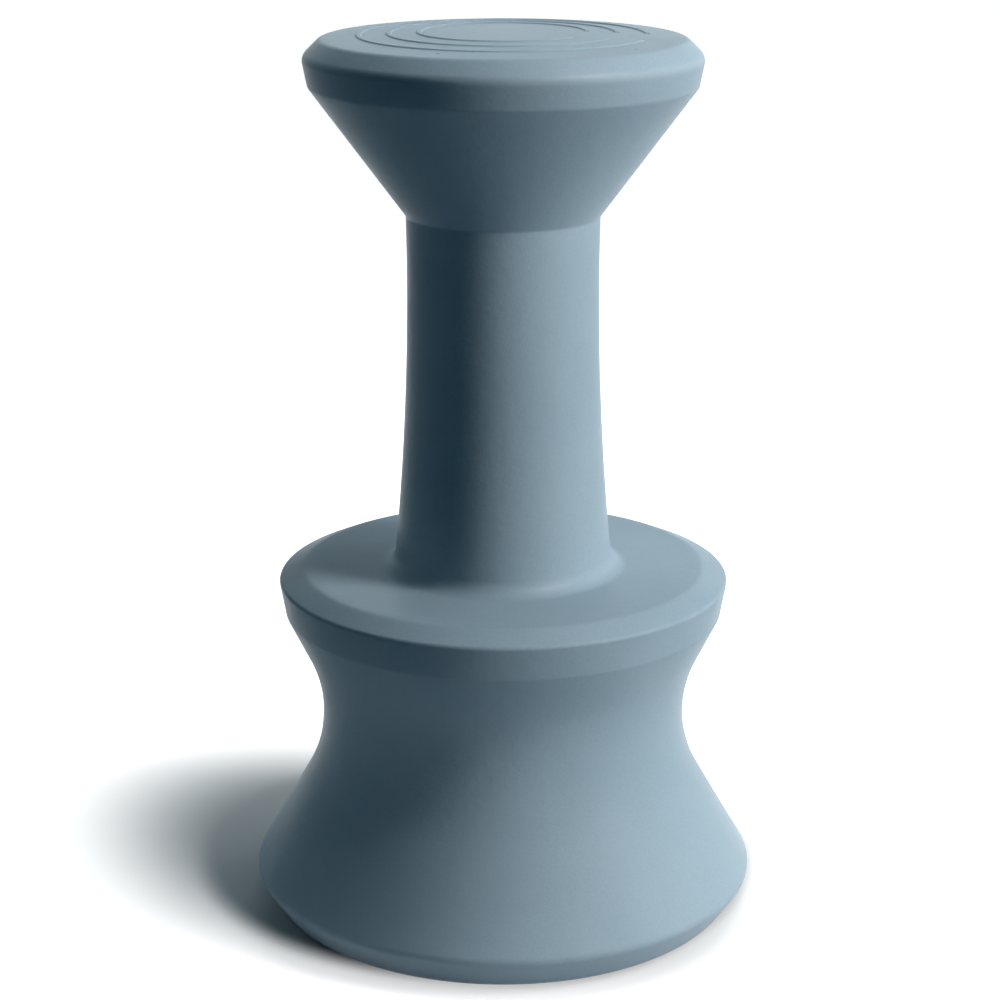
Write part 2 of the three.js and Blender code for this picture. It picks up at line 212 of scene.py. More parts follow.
# Radii and heights that follow from the sizes
SEAT_EDGE_HEIGHT = SEAT_HEIGHT - SEAT_CROWN
RIM_HEIGHT = SEAT_EDGE_HEIGHT - RIM_BEVEL_DROP
RIM_FOOT_HEIGHT = RIM_HEIGHT - RIM_BAND_HEIGHT
CONE_FOOT_HEIGHT = RIM_FOOT_HEIGHT - CONE_HEIGHT
COLUMN_WAIST_HEIGHT = CONE_FOOT_HEIGHT - COLUMN_WAIST_DROP
LEDGE_RIM_HEIGHT = LEDGE_HEIGHT - LEDGE_BEVEL_DROP
PANEL_HEIGHT = PAD_PROUD + RECESS_DEPTH
PAD_SEAT_HEIGHT = PAD_THICKNESS + FIT_GAP
FOOT_RADIUS = BELLY_RADIUS - FOOT_TUCK
FOOT_RING_INNER_RADIUS = FOOT_RADIUS - FOOT_RING_WIDTH
PANEL_RADIUS = FOOT_RING_INNER_RADIUS - RECESS_SLOPE
VENT_OFFSET = PANEL_RADIUS - VENT_INSET
FOOT_CIRCLE_RADIUS = FOOT_RADIUS - PAD_INSET
INSERT_LOW = PAD_SEAT_HEIGHT
INSERT_TOP = INSERT_LOW + INSERT_HEIGHT

# Camera, fitted to the photograph
CAMERA_DISTANCE = 2082.9 * MM
CAMERA_HEIGHT = 987 * MM
CAMERA_SIDE = -2.7 * MM
CAMERA_PITCH = math.radians(16.663)
CAMERA_SENSOR = 36
CAMERA_FOCAL_PIXELS = 2532.7
FRAME_PIXELS = 1000


# Outlines: corners with a rounding each, listed from the axis outwards and up to the axis again
Corner = namedtuple("Corner", "radius height rounding", defaults=(0,))


def crown_height(radius):
    return SEAT_HEIGHT - SEAT_CROWN * (radius / SEAT_EDGE_RADIUS) ** 2


def column_radius(height):
    share = (height - COLUMN_WAIST_HEIGHT) / (COLUMN_WAIST_HEIGHT - LEDGE_HEIGHT)
    return COLUMN_WAIST_RADIUS + (COLUMN_FOOT_RADIUS - COLUMN_WAIST_RADIUS) * share**2


def underside_corners():
    return [
        Corner(0, PANEL_HEIGHT),
        Corner(PANEL_RADIUS, PANEL_HEIGHT, PANEL_ROUNDING),
        Corner(FOOT_RING_INNER_RADIUS, PAD_PROUD, FOOT_RING_INNER_ROUNDING),
        Corner(FOOT_RADIUS, PAD_PROUD, FOOT_ROUNDING),
    ]


def base_corners():
    band_foot_radius = LEDGE_RIM_RADIUS - LEDGE_BAND_TAPER
    return [
        Corner(BELLY_RADIUS, BELLY_HEIGHT, BELLY_ROUNDING),
        Corner(WAIST_RADIUS, WAIST_HEIGHT, WAIST_ROUNDING),
        Corner(band_foot_radius, LEDGE_RIM_HEIGHT - LEDGE_BAND_HEIGHT, LEDGE_BAND_ROUNDING),
        Corner(LEDGE_RIM_RADIUS, LEDGE_RIM_HEIGHT, LEDGE_RIM_ROUNDING),
        Corner(LEDGE_EDGE_RADIUS, LEDGE_HEIGHT, LEDGE_EDGE_ROUNDING),
    ]


def column_corners():
    start = LEDGE_HEIGHT + 2 * COLUMN_FILLET
    rise = (CONE_FOOT_HEIGHT - start) / COLUMN_STEPS
    heights = [start + rise * i for i in range(COLUMN_STEPS + 1)]
    corners = [Corner(COLUMN_FOOT_RADIUS, LEDGE_HEIGHT, COLUMN_FILLET)]
    corners += [Corner(column_radius(height), height) for height in heights[:-1]]
    return corners + [Corner(column_radius(CONE_FOOT_HEIGHT), CONE_FOOT_HEIGHT, CONE_FOOT_ROUNDING)]


def rim_corners():
    return [
        Corner(RIM_RADIUS - RIM_BAND_TAPER, RIM_FOOT_HEIGHT, RIM_BAND_ROUNDING),
        Corner(RIM_RADIUS, RIM_HEIGHT, RIM_ROUNDING),
        Corner(SEAT_EDGE_RADIUS, SEAT_EDGE_HEIGHT, SEAT_EDGE_ROUNDING),
    ]


def crown_corners(outer, inner, step=CROWN_STEP):
    """Plain points on the crown strictly between two radii, from the outer one inwards."""
    count = max(1, math.ceil((outer - inner) / step))
    radii = [outer + (inner - outer) * i / count for i in range(1, count)]
    return [Corner(radius, crown_height(radius)) for radius in radii]


def ring_corners(middle):
    outer_foot, outer_top = middle + RING_BASE_WIDTH / 2, middle + RING_TOP_WIDTH / 2
    inner_top, inner_foot = middle - RING_TOP_WIDTH / 2, middle - RING_BASE_WIDTH / 2
    rises = ((outer_foot, 0), (outer_top, RING_HEIGHT), (inner_top, RING_HEIGHT), (inner_foot, 0))
    return [Corner(radius, crown_height(radius) + rise, RING_ROUNDING) for radius, rise in rises]


def seat_top_corners():
    """The crown inwards from the seat's edge, finely cut across the marks, with the raised rings."""
    edge = SEAT_EDGE_RADIUS - SEAT_EDGE_ROUNDING
    mark_radii = [radius for radius, _ in MARKS]
    mark_high = max(mark_radii) + MARK_MARGIN
    mark_low = min(mark_radii) - MARK_MARGIN
    corners = [Corner(edge, crown_height(edge)), Corner(mark_high, crown_height(mark_high))]
    corners += crown_corners(mark_high, mark_low, MARK_STEP)
    last = mark_low
    for i in range(RING_COUNT):
        ring = ring_corners(OUTER_RING_RADIUS - RING_PITCH * i)
        corners += crown_corners(last, ring[0].radius) + ring
        last = ring[-1].radius
    return corners + crown_corners(last, 0)


def shell_corners():
    rest = underside_corners() + base_corners() + column_corners() + rim_corners()
    return rest + seat_top_corners() + [Corner(0, SEAT_HEIGHT)]


def hollow_corners():
    half = SEAT_EDGE_RADIUS / 2
    rest = underside_corners() + base_corners() + column_corners() + rim_corners()
    return inset_corners(rest + [Corner(half, crown_height(half)), Corner(0, SEAT_HEIGHT)], WALL)


def points_of(corners):
    return [Vector((corner.radius, corner.height)) for corner in corners]


def left_normal(start, end):
    along = (end - start).normalized()
    return Vector((-along.y, along.x))


def inset_corners(corners, distance):
    """Each corner moves in by the wall, square to both of the sides that meet there."""
    points = points_of(corners)
    moved = []
    for i, corner in enumerate(corners):
        before = left_normal(points[i - 1], points[i]) if i > 0 else None
        after = left_normal(points[i], points[i + 1]) if i + 1 < len(points) else None
        first, second = before or after, after or before
        if before is None or after is None:
            second = Vector((-first.x, first.y))
        shift = (first + second) * (distance / (1 + first.dot(second)))
        outward = first.x * second.y - first.y * second.x > 0
        rounding = corner.rounding - distance if outward else corner.rounding + distance
        place = points[i] + shift
        moved.append(Corner(place.x, place.y, max(0, rounding) if corner.rounding > 0 else 0))
    return moved


def fitted_tangents(points, turns, roundings):
    """Tangent lengths of the roundings. Two that would overlap on one side shrink alike to share it."""
    wanted = [rounding * math.tan(abs(turn) / 2) for rounding, turn in zip(roundings, turns)]
    shares = [1.0] * len(points)
    for i in range(len(points) - 1):
        side = (points[i + 1] - points[i]).length
        both = wanted[i] + wanted[i + 1]
        share = side / both if both > side else 1.0
        shares[i] = min(shares[i], share)
        shares[i + 1] = min(shares[i + 1], share)
    return [length * share for length, share in zip(wanted, shares)]


def arc_points(point, before, turn, tangent):
    arrive = (point - before).normalized()
    radius = tangent / math.tan(abs(turn) / 2)
    start = point - arrive * tangent
    side = math.copysign(1, turn)
    centre = start + Vector((-arrive.y, arrive.x)) * radius * side
    chord_step = 2 * math.acos(max(0, 1 - CHORD_ERROR / radius)) if radius > CHORD_ERROR else ARC_STEP
    steps = max(2, math.ceil(abs(turn) / min(ARC_STEP, chord_step)))
    return [centre + Matrix.Rotation(turn * k / steps, 2) @ (start - centre) for k in range(steps + 1)]


def rounded_outline(corners):
    """Points (radius, height) of the outline, with a true arc at each rounded corner."""
    points = points_of(corners)
    turns = [0.0] * len(points)
    for i in range(1, len(points) - 1):
        arrive, leave = points[i] - points[i - 1], points[i + 1] - points[i]
        turns[i] = math.atan2(arrive.x * leave.y - arrive.y * leave.x, arrive.dot(leave))
    tangents = fitted_tangents(points, turns, [corner.rounding for corner in corners])
    outline = []
    for i, point in enumerate(points):
        if tangents[i] < EVEN:
            outline.append(point)
        else:
            outline += arc_points(point, points[i - 1], turns[i], tangents[i])
    return subdivided(outline)


def subdivided(outline):
    """Long straight sides get steps in between, so that their faces stay well shaped."""
    finer = [outline[0]]
    for before, after in zip(outline, outline[1:]):
        count = max(1, math.ceil((after - before).length / LONGEST_STEP))
        finer += [before.lerp(after, k / count) for k in range(1, count + 1)]
    return finer


# From outlines to meshes
def mesh_object(name, vertices, faces):
    mesh = bpy.data.meshes.new(name)
    mesh.from_pydata(vertices, [], faces)
    made = bpy.data.objects.new(name, mesh)
    bpy.context.scene.collection.objects.link(made)
    return made


def turned(name, outline, columns, closed=False):
    """Turns an outline round the Z axis. An open one starts and ends on the axis, a closed one joins up.
    columns(radius) gives the angles of one ring, alike in number for all rings."""
    vertices, rings = [], []
    for point in outline:
        if point[0] < EVEN:
            rings.append([len(vertices)])
            vertices.append((0, 0, point[1]))
        else:
            angles = columns(point[0])
            rings.append(list(range(len(vertices), len(vertices) + len(angles))))
            vertices += [(point[0] * math.cos(a), point[0] * math.sin(a), point[1]) for a in angles]
    pairs = list(zip(rings, rings[1:])) + ([(rings[-1], rings[0])] if closed else [])
    faces = [face for low, high in pairs for face in band(low, high)]
    return mesh_object(name, vertices, faces)


def band(low, high):
    """The faces between two neighbouring rings, or between a ring and a point on the axis."""
    count = max(len(low), len(high))
    for j in range(count):
        k = (j + 1) % count
        if len(low) == 1:
            yield (low[0], high[k], high[j])
        elif len(high) == 1:
            yield (low[j], low[k], high[0])
        else:
            yield (low[j], low[k], high[k], high[j])


def even_columns(segments, start=0.0):
    angles = [start + FULL_TURN * j / segments for j in range(segments)]
    return lambda radius: angles


def lathe(name, corners, segments, closed=False):
    return turned(name, rounded_outline(corners), even_columns(segments), closed)


def cylinder_corners(radius, low, high):
    return [Corner(0, low), Corner(radius, low), Corner(radius, high), Corner(0, high)]


def cylinder(name, radius, low, high, segments):
    return lathe(name, cylinder_corners(radius, low, high), segments)


def hexagon(name, radius, low, high):
    return turned(name, points_of(cylinder_corners(radius, low, high)), even_columns(HEX_SIDES))


def softened(made):
    """Gives the edges of a six-sided piece a small rounding."""
    modifier = made.modifiers.new("rounding", "BEVEL")
    modifier.width = INSERT_CHAMFER / 2
    modifier.segments = HEX_EDGE_STEPS
    modifier.limit_method = "ANGLE"
    modifier.angle_limit = SHARP_ANGLE
    return applied(made)


def applied(made):
    """Replaces the object's mesh by the one that its modifiers make."""
    graph = bpy.context.evaluated_depsgraph_get()
    mesh = bpy.data.meshes.new_from_object(made.evaluated_get(graph))
    made.modifiers.clear()
    made.data = mesh
    return made


def combined(body, operation, *others):
    """Joins others to the body, or cuts them out of it, and removes them."""
    for other in others:
        modifier = body.modifiers.new("cut", "BOOLEAN")
        modifier.operation = operation
        modifier.solver = "MANIFOLD"
        modifier.object = other
        applied(body)
        bpy.data.objects.remove(other)
    return body


def joined(body, *others):
    return combined(body, "UNION", *others)


def cut(body, *others):
    return combined(body, "DIFFERENCE", *others)


def placed(made, x, y, z):
    made.location = (x, y, z)
    return made


def placed_round(made, radius, angle):
    return placed(made, radius * math.cos(angle), radius * math.sin(angle), 0)


def spaced_angles(count):
    return [FULL_TURN * (i + 0.5) / count for i in range(count)]


def finished(made, finish, body, node):
    """Shades the piece smooth between its sharp edges, gives it its material and seats it on its body."""
    mesh = made.data
    mesh.polygons.foreach_set("use_smooth", [True] * len(mesh.polygons))
    mesh.set_sharp_from_angle(angle=SHARP_ANGLE)
    mesh.materials.clear()
    mesh.materials.append(finish.material)
    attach(made, body)
    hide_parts(node)


# Threads
def thread_ridge(name, inner, outer, inner_width, outer_width, pitch, turns, start, segments):
    """A ridge that climbs round the axis and runs out at both ends."""
    steps = round(turns * segments)
    lead = THREAD_LEAD_SHARE * segments
    vertices, faces = [], [(0, 1, 2, 3)]
    for i in range(steps + 1):
        rise = min(1, (i + 1) / lead, (steps - i + 1) / lead)
        angle, middle = FULL_TURN * i / segments, start + pitch * i / segments
        reach = inner + (outer - inner) * rise
        for radius, offset in (
            (inner, -inner_width / 2),
            (reach, -outer_width / 2),
            (reach, outer_width / 2),
            (inner, inner_width / 2),
        ):
            vertices.append((radius * math.cos(angle), radius * math.sin(angle), middle + offset))
    for i in range(steps):
        for k in range(4):
            a, b = 4 * i + k, 4 * i + (k + 1) % 4
            faces.append((a, a + 4, b + 4, b))
    last = 4 * steps
    faces.append((last + 3, last + 2, last + 1, last))
    ridge = mesh_object(name, vertices, faces)
    face_out(ridge)
    return ridge


def face_out(made):
    shape = bmesh.new()
    shape.from_mesh(made.data)
    bmesh.ops.recalc_face_normals(shape, faces=shape.faces)
    if shape.calc_volume(signed=True) < 0:
        bmesh.ops.reverse_faces(shape, faces=shape.faces)
    shape.to_mesh(made.data)
    shape.free()
    return made


# Ports: heights are measured up from the panel's lower face
class Port:
    def __init__(self, name, x, thread_radius, thread_depth, pitch, segments):
        self.name = name
        self.x = x
        self.thread_radius = thread_radius
        self.core_radius = thread_radius - thread_depth
        self.pitch = pitch
        self.segments = segments
        self.outer_radius = thread_radius + INSERT_WALL
        self.height = (THREAD_TURNS + 1) * pitch
        self.gasket_top = -FIT_GAP
        self.flange_top = -2 * FIT_GAP - GASKET_THICKNESS
        self.face = self.flange_top - FLANGE_THICKNESS
        self.flange_radius = self.outer_radius + FLANGE_REACH

    def place(self, made):
        return placed(made, self.x, 0, PANEL_HEIGHT)


def insert_outside(port, grow):
    collar_low = (port.height - ANCHOR_THICKNESS) / 2 - grow
    collar_high = (port.height + ANCHOR_THICKNESS) / 2 + grow
    body, collar = port.outer_radius + grow, port.outer_radius + ANCHOR_REACH + grow
    low, high = (-RECESS_DEPTH, port.height + RECESS_DEPTH) if grow > 0 else (0, port.height)
    corners = [
        Corner(0, low),
        Corner(body, low, EDGE_ROUNDING / 2),
        Corner(body, collar_low),
        Corner(collar, collar_low, EDGE_ROUNDING),
        Corner(collar, collar_high, EDGE_ROUNDING),
        Corner(body, collar_high),
        Corner(body, high, EDGE_ROUNDING / 2),
        Corner(0, high),
    ]
    return lathe(f"{port.name}_insert_form", corners, port.segments)


def port_boss(port):
    radius = port.outer_radius + ANCHOR_REACH + FIT_GAP + PORT_BOSS_WALL
    low, high = WALL / 2, (port.height + ANCHOR_THICKNESS) / 2 + PORT_BOSS_WALL
    corners = [Corner(0, low), Corner(radius, low), Corner(radius, high, EDGE_ROUNDING), Corner(0, high)]
    return lathe(f"{port.name}_boss", corners, port.segments)


def port_insert(port):
    radius = port.thread_radius + THREAD_GAP
    bore = cylinder("bore", radius, -CUT_OVERRUN, port.height + CUT_OVERRUN, port.segments)
    made = cut(insert_outside(port, 0), bore)
    ridge = thread_ridge(
        "inside_thread",
        radius + FIT_GAP,
        port.core_radius + THREAD_GAP,
        (1 - THREAD_CREST_SHARE) * port.pitch - 2 * THREAD_GAP,
        (1 - THREAD_ROOT_SHARE) * port.pitch - 2 * THREAD_GAP,
        port.pitch,
        THREAD_TURNS,
        port.pitch / 2,
        port.segments,
    )
    return joined(made, ridge)


def port_gasket(port):
    bore = port.thread_radius + GASKET_BORE_GAP
    low, top = port.gasket_top - GASKET_THICKNESS, port.gasket_top
    middle = (bore + port.outer_radius) / 2
    corners = [
        Corner(middle, low),
        Corner(port.outer_radius, low, GASKET_ROUNDING),
        Corner(port.outer_radius, top, GASKET_ROUNDING),
        Corner(bore, top, GASKET_ROUNDING),
        Corner(bore, low, GASKET_ROUNDING),
        Corner(middle, low),
    ]
    outline = rounded_outline(corners)[:-1]
    return turned(f"{port.name}_gasket", outline, even_columns(port.segments), closed=True)


def plug_blank(port):
    top = port.height - FIT_GAP
    corners = [
        Corner(0, port.face),
        Corner(port.flange_radius, port.face, EDGE_ROUNDING),
        Corner(port.flange_radius, port.flange_top, EDGE_ROUNDING / 2),
        Corner(port.core_radius, port.flange_top),
        Corner(port.core_radius, top, EDGE_ROUNDING),
        Corner(0, top),
    ]
    ridge = thread_ridge(
        "outside_thread",
        port.core_radius - FIT_GAP,
        port.thread_radius,
        THREAD_ROOT_SHARE * port.pitch,
        THREAD_CREST_SHARE * port.pitch,
        port.pitch,
        PLUG_THREAD_TURNS,
        port.pitch,
        port.segments,
    )
    return joined(lathe(f"{port.name}_plug_blank", corners, port.segments), ridge)


def flange_notches(port):
    """Small upright grooves round a flange, for the fingers."""
    low, high = port.face - CUT_OVERRUN, port.flange_top + GASKET_THICKNESS / 2
    notches = []
    for angle in spaced_angles(GRIP_NOTCHES):
        notch = cylinder("notch", GRIP_NOTCH_RADIUS, low, high, NOTCH_SEGMENTS)
        notches.append(placed_round(notch, port.flange_radius, angle))
    return notches


def grip_bar(port):
    sunk = FLANGE_THICKNESS / 2
    low, high = port.face - GRIP_BAR_HEIGHT, port.face + sunk
    size = (2 * GRIP_BAR_REACH_SHARE * port.flange_radius, GRIP_BAR_WIDTH, high - low)
    shape = bmesh.new()
    bmesh.ops.create_cube(shape, size=1, matrix=Matrix.Diagonal((*size, 1)))
    rounding = {"offset": GRIP_BAR_ROUNDING, "segments": GRIP_BAR_STEPS, "profile": 0.5}
    bmesh.ops.bevel(shape, geom=shape.edges[:], affect="EDGES", **rounding)
    made = mesh_object("grip_bar", [], [])
    shape.to_mesh(made.data)
    shape.free()
    return placed(made, 0, 0, (low + high) / 2)


def fill_plug(port):
    """The filling plug is hollow from inside, and a raised bar across its face turns it."""
    low, high = port.flange_top, port.height + CUT_OVERRUN
    radius = port.core_radius - FILL_HOLLOW_WALL
    corners = [Corner(0, low), Corner(radius, low, EDGE_ROUNDING), Corner(radius, high), Corner(0, high)]
    hollow = lathe("plug_hollow", corners, port.segments)
    return cut(joined(plug_blank(port), grip_bar(port)), hollow, *flange_notches(port))


def vent_plug(port):
    """A raised six-sided head turns the vent plug."""
    radius = VENT_HEX_WIDTH / math.sqrt(3)
    low, high = port.face - VENT_HEX_HEIGHT, port.face + FLANGE_THICKNESS / 2
    return joined(plug_blank(port), softened(hexagon("hex_head", radius, low, high)))


# Feet: each piece is made on the Z axis and moved to its place on the foot ring
def foot_pad():
    bore, counterbore = SCREW_RADIUS + FIT_GAP, SCREW_HEAD_RADIUS + COUNTERBORE_GAP
    corners = [
        Corner(bore, COUNTERBORE_DEPTH),
        Corner(counterbore, COUNTERBORE_DEPTH, EDGE_ROUNDING / 2),
        Corner(counterbore, 0, EDGE_ROUNDING / 2),
    ]
    for middle in PAD_GROOVE_RADII:
        low, high = middle - PAD_GROOVE_WIDTH / 2, middle + PAD_GROOVE_WIDTH / 2
        corners += [Corner(low, 0), Corner(low, PAD_GROOVE_DEPTH)]
        corners += [Corner(high, PAD_GROOVE_DEPTH), Corner(high, 0)]
    corners += [
        Corner(PAD_RADIUS, 0, PAD_ROUNDING),
        Corner(PAD_RADIUS, PAD_THICKNESS, EDGE_ROUNDING / 2),
        Corner(bore, PAD_THICKNESS),
    ]
    return lathe("pad", corners, SMALL_SEGMENTS, closed=True)


def foot_screw():
    head_top = COUNTERBORE_DEPTH - FIT_GAP
    head_low, end = head_top - SCREW_HEAD_HEIGHT, head_top + SCREW_LENGTH
    core = SCREW_RADIUS - SCREW_THREAD_DEPTH
    corners = [
        Corner(0, head_low),
        Corner(SCREW_HEAD_RADIUS, head_low, EDGE_ROUNDING),
        Corner(SCREW_HEAD_RADIUS, head_top, EDGE_ROUNDING / 4),
        Corner(core, head_top),
        Corner(core, end - SCREW_TIP),
        Corner(core - SCREW_TIP / 2, end),
        Corner(0, end),
    ]
    turns = math.floor((SCREW_LENGTH - 2 * SCREW_TIP) / SCREW_PITCH) - 1
    ridge = thread_ridge(
        "screw_thread",
        core - FIT_GAP / 2,
        SCREW_RADIUS,
        SCREW_PITCH * (1 - THREAD_CREST_SHARE / 2),
        SCREW_PITCH * THREAD_CREST_SHARE / 2,
        SCREW_PITCH,
        turns,
        head_top + SCREW_PITCH,
        SMALL_SEGMENTS,
    )
    radius = SCREW_KEY_WIDTH / math.sqrt(3)
    low, high = head_low - CUT_OVERRUN, head_low + SCREW_KEY_DEPTH
    return cut(joined(lathe("screw", corners, SMALL_SEGMENTS), ridge), hexagon("key", radius, low, high))


def insert_collar(low, high, grow):
    made = hexagon("insert_collar", INSERT_RADIUS + grow, low, high)
    return made if grow > 0 else softened(made)


def insert_form(grow):
    low = INSERT_LOW - (CUT_OVERRUN if grow > 0 else 0)
    neck = cylinder("insert_neck", INSERT_NECK_RADIUS + grow, low, INSERT_TOP, SMALL_SEGMENTS)
    foot = insert_collar(low, INSERT_LOW + INSERT_COLLAR_HEIGHT + grow, grow)
    head = insert_collar(INSERT_TOP - INSERT_COLLAR_HEIGHT - grow, INSERT_TOP + grow, grow)
    return joined(neck, foot, head)


def foot_insert():
    low, top = INSERT_LOW - CUT_OVERRUN, INSERT_TOP - INSERT_TOP_THICKNESS
    radius = SCREW_RADIUS + FIT_GAP
    mouth = radius + INSERT_CHAMFER
    corners = [
        Corner(0, low),
        Corner(mouth, low),
        Corner(mouth, INSERT_LOW),
        Corner(radius, INSERT_LOW + INSERT_CHAMFER),
        Corner(radius, top),
        Corner(0, top + radius / 2),
    ]
    return cut(insert_form(0), lathe("insert_bore", corners, SMALL_SEGMENTS))


def foot_boss():
    low = PAD_PROUD + WALL / 2
    seat_radius = PAD_RADIUS + FIT_GAP + PAD_SEAT_WALL
    post_radius = INSERT_RADIUS + FIT_GAP + INSERT_BOSS_WALL
    corners = [
        Corner(0, low),
        Corner(seat_radius, low),
        Corner(seat_radius, PAD_SEAT_HEIGHT + PAD_SEAT_WALL, EDGE_ROUNDING),
        Corner(post_radius, PAD_SEAT_HEIGHT + PAD_SEAT_WALL, EDGE_ROUNDING),
        Corner(post_radius, INSERT_TOP + INSERT_BOSS_WALL, EDGE_ROUNDING),
        Corner(0, INSERT_TOP + INSERT_BOSS_WALL),
    ]
    return lathe("foot_boss", corners, SMALL_SEGMENTS)


def foot_cut():
    seat = cylinder("pad_seat", PAD_RADIUS + FIT_GAP, -CUT_OVERRUN, PAD_SEAT_HEIGHT, SMALL_SEGMENTS)
    return joined(seat, insert_form(FIT_GAP))


FOOT_ANGLES = spaced_angles(FOOT_COUNT)


def at_foot(angle, made):
    made.rotation_euler.z = angle
    return placed_round(made, FOOT_CIRCLE_RADIUS, angle)


# Shell
def shell_columns():
    """Even columns, finer ones across the seat's marks, and some at set distances from the parting line."""
    step = FULL_TURN / SHELL_SEGMENTS
    plain = [step * j + SEAM_ANGLE for j in range(SHELL_SEGMENTS)]
    for mark_radius, direction in MARKS:
        middle = math.radians(direction) % FULL_TURN
        reach = MARK_MARGIN / mark_radius
        count = math.ceil(reach * mark_radius / MARK_STEP)
        plain = [a for a in plain if abs(a - middle) > reach + step / 4]
        plain += [middle + reach * k / count for k in range(-count, count + 1)]
    seams = [SEAM_ANGLE, SEAM_ANGLE + math.pi]
    plain = sorted(a for a in plain if min(abs(a - seam) for seam in seams) > step / 2)

    def angles(radius):
        offsets = [offset / max(radius, SEAM_LEAST_RADIUS) for offset in SEAM_OFFSETS]
        return sorted(plain + [seam + offset for seam in seams for offset in offsets])

    return angles


def outline_normals(outline):
    """Unit vectors out of the shell, square to the outline."""
    normals = []
    for i in range(len(outline)):
        along = outline[min(i + 1, len(outline) - 1)] - outline[max(i - 1, 0)]
        normals.append(Vector((along.y, -along.x)).normalized())
    return normals


def seam_height(radius, angle, height):
    """The parting line runs up the sides from the foot to the rim, and fades out at both ends."""
    turns = [angle - SEAM_ANGLE - side for side in (0, math.pi)]
    across = radius * min(abs(math.remainder(turn, FULL_TURN)) for turn in turns)
    if across > SEAM_OFFSETS[-1] or not BELLY_HEIGHT / 2 < height < RIM_HEIGHT:
        return 0
    ends = min(height - BELLY_HEIGHT / 2, RIM_HEIGHT - height) / WALL
    return SEAM_RISE * min(1, ends) * math.exp(-((across / SEAM_WIDTH) ** 2))


def strip_share(x, y):
    """The share of its height that a ring gives up: all on the plain strip, none past its sloping ends."""
    if x < 0:
        return 0
    share = min(1, max(0, 1 - (abs(y - STRIP_MIDDLE) - STRIP_HALF) / RING_END_LENGTH))
    return share * share * (3 - 2 * share)


def mark_depth(x, y):
    depth = 0
    for radius, direction in MARKS:
        angle = math.radians(direction)
        away = math.hypot(x - radius * math.cos(angle), y - radius * math.sin(angle)) / MARK_RADIUS
        if away < 1:
            depth += MARK_DEPTH * (1 - away**2) ** MARK_FALLOFF
    return depth


def shell_outside():
    outline = rounded_outline(shell_corners())
    columns = shell_columns()
    made = turned("shell_outside", outline, columns)
    normals = outline_normals(outline)
    index = 0
    for point, normal in zip(outline, normals):
        for angle in [0] if point.x < EVEN else columns(point.x):
            vertex = made.data.vertices[index]
            rise = seam_height(point.x, angle, point.y) * abs(normal.x)
            vertex.co += rise * Vector((normal.x * math.cos(angle), normal.x * math.sin(angle), normal.y))
            if point.y > SEAT_EDGE_HEIGHT:
                ring = max(0, point.y - crown_height(point.x))
                x, y = vertex.co.x, vertex.co.y
                vertex.co.z -= ring * strip_share(x, y) + mark_depth(x, y)
            index += 1
    return made


def stool_shell(ports):
    bosses = [port.place(port_boss(port)) for port in ports]
    bosses += [at_foot(angle, foot_boss()) for angle in FOOT_ANGLES]
    cuts = [port.place(insert_outside(port, FIT_GAP)) for port in ports]
    cuts += [at_foot(angle, foot_cut()) for angle in FOOT_ANGLES]
    hollow = cut(lathe("shell_hollow", hollow_corners(), HOLLOW_SEGMENTS), *bosses)
    return cut(shell_outside(), hollow, *cuts)


# Materials: small helpers, then one function for each finish. Most of a noise's values lie in its band.
NOISE_BAND = (0.3, 0.7)


